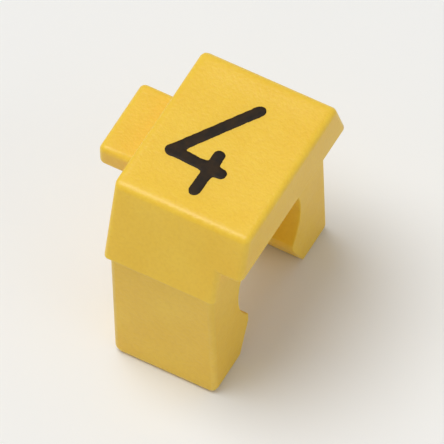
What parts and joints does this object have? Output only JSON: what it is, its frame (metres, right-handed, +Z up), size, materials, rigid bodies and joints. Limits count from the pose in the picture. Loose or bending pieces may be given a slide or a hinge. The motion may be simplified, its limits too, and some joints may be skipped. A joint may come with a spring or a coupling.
{
  "type": "cable marker",
  "caption": "Small moulded clip-on cable marker: an open C-shaped clip that snaps over an insulated wire, with a flat face for a printed figure, a side lip and a side tab.",
  "frame": {"origin": "on the axis of the wire clip's bore, midway along the clip", "axes": "+X along the wire, the way the printed figure reads; +Y across the wire, towards the top of the figure; +Z up, out of the printed face"},
  "size_m": [0.0039, 0.0048, 0.005],
  "materials": {
    "yellow_plastic": "satin, as moulded"
  },
  "bodies": {
    "root": {"marker": "yellow_plastic"}
  },
  "joints": []
}
